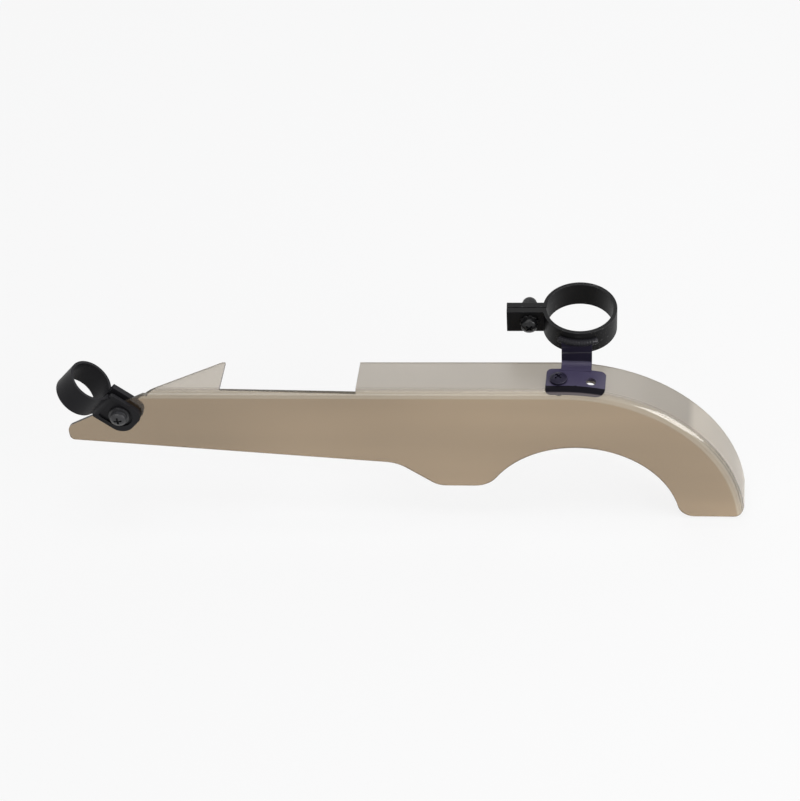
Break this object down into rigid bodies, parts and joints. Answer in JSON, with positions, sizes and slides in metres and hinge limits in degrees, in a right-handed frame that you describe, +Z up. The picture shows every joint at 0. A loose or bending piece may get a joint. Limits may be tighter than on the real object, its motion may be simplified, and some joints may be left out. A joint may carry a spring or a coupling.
{
  "type": "chain guard",
  "caption": "Smoke-tinted moulded bicycle chain guard with a folded top flange, a seat tube band on a steel bracket and a loop clip for the stay.",
  "frame": {"origin": "centre of the seat tube band's bore", "axes": "+X along the guard towards the front of the bicycle, +Y inboard towards the bicycle, +Z up"},
  "size_m": [0.3627, 0.0716, 0.1144],
  "materials": {
    "smoke_plastic": "smooth moulded, smoke tint, slightly see-through",
    "black_steel": "satin black coating",
    "bracket_steel": "satin black coating with a violet cast",
    "black_screw": "black zinc",
    "black_plastic": "satin moulded plastic",
    "stay_screw_steel": "dark zinc, satin"
  },
  "bodies": {
    "root": {"guard_shell": "smoke_plastic", "seat_tube_band": "black_steel", "bracket": "bracket_steel", "band_bolt": "black_screw", "band_washers": "black_screw", "band_nut": "black_screw", "bracket_screw": "bracket_steel", "bracket_nut": "black_screw", "stay_clip": "black_plastic", "stay_screw": "stay_screw_steel", "stay_nut": "black_screw"}
  },
  "joints": []
}
